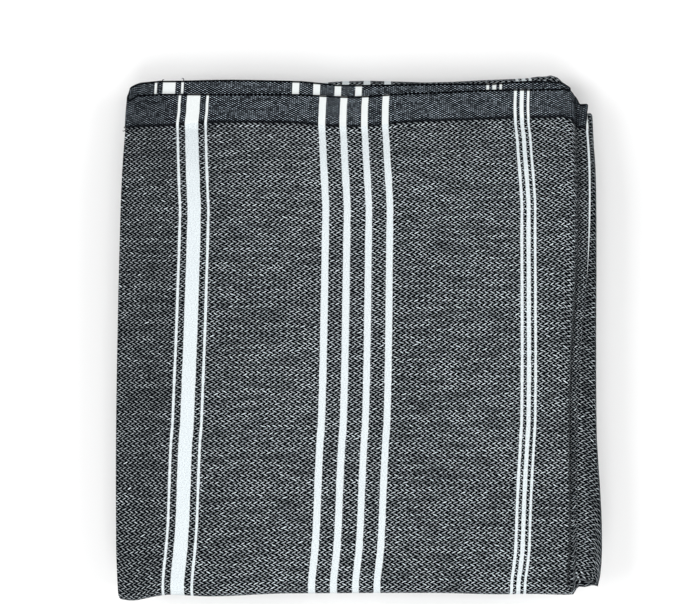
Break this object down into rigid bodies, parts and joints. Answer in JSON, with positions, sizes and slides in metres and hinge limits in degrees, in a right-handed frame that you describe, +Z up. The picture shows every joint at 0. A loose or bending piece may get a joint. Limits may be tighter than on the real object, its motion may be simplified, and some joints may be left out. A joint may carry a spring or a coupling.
{
  "type": "hammam towel",
  "caption": "Thin woven cotton hammam towel with a herringbone ground, pale lengthwise stripes and plain stitched hems, folded in a neat flat bundle.",
  "frame": {"origin": "under the middle of the folded bundle, on the surface it rests on", "axes": "+Z up through the layers; +X along the hem, from the cloth's centre fold to its outer folds; +Y to the end where the first hem lies on top"},
  "size_m": [0.2575, 0.2814, 0.0389],
  "materials": {
    "striped_cotton": "matt woven cotton, charcoal with pale flecks and white stripes"
  },
  "bodies": {
    "root": {"towel": "striped_cotton"}
  },
  "joints": []
}
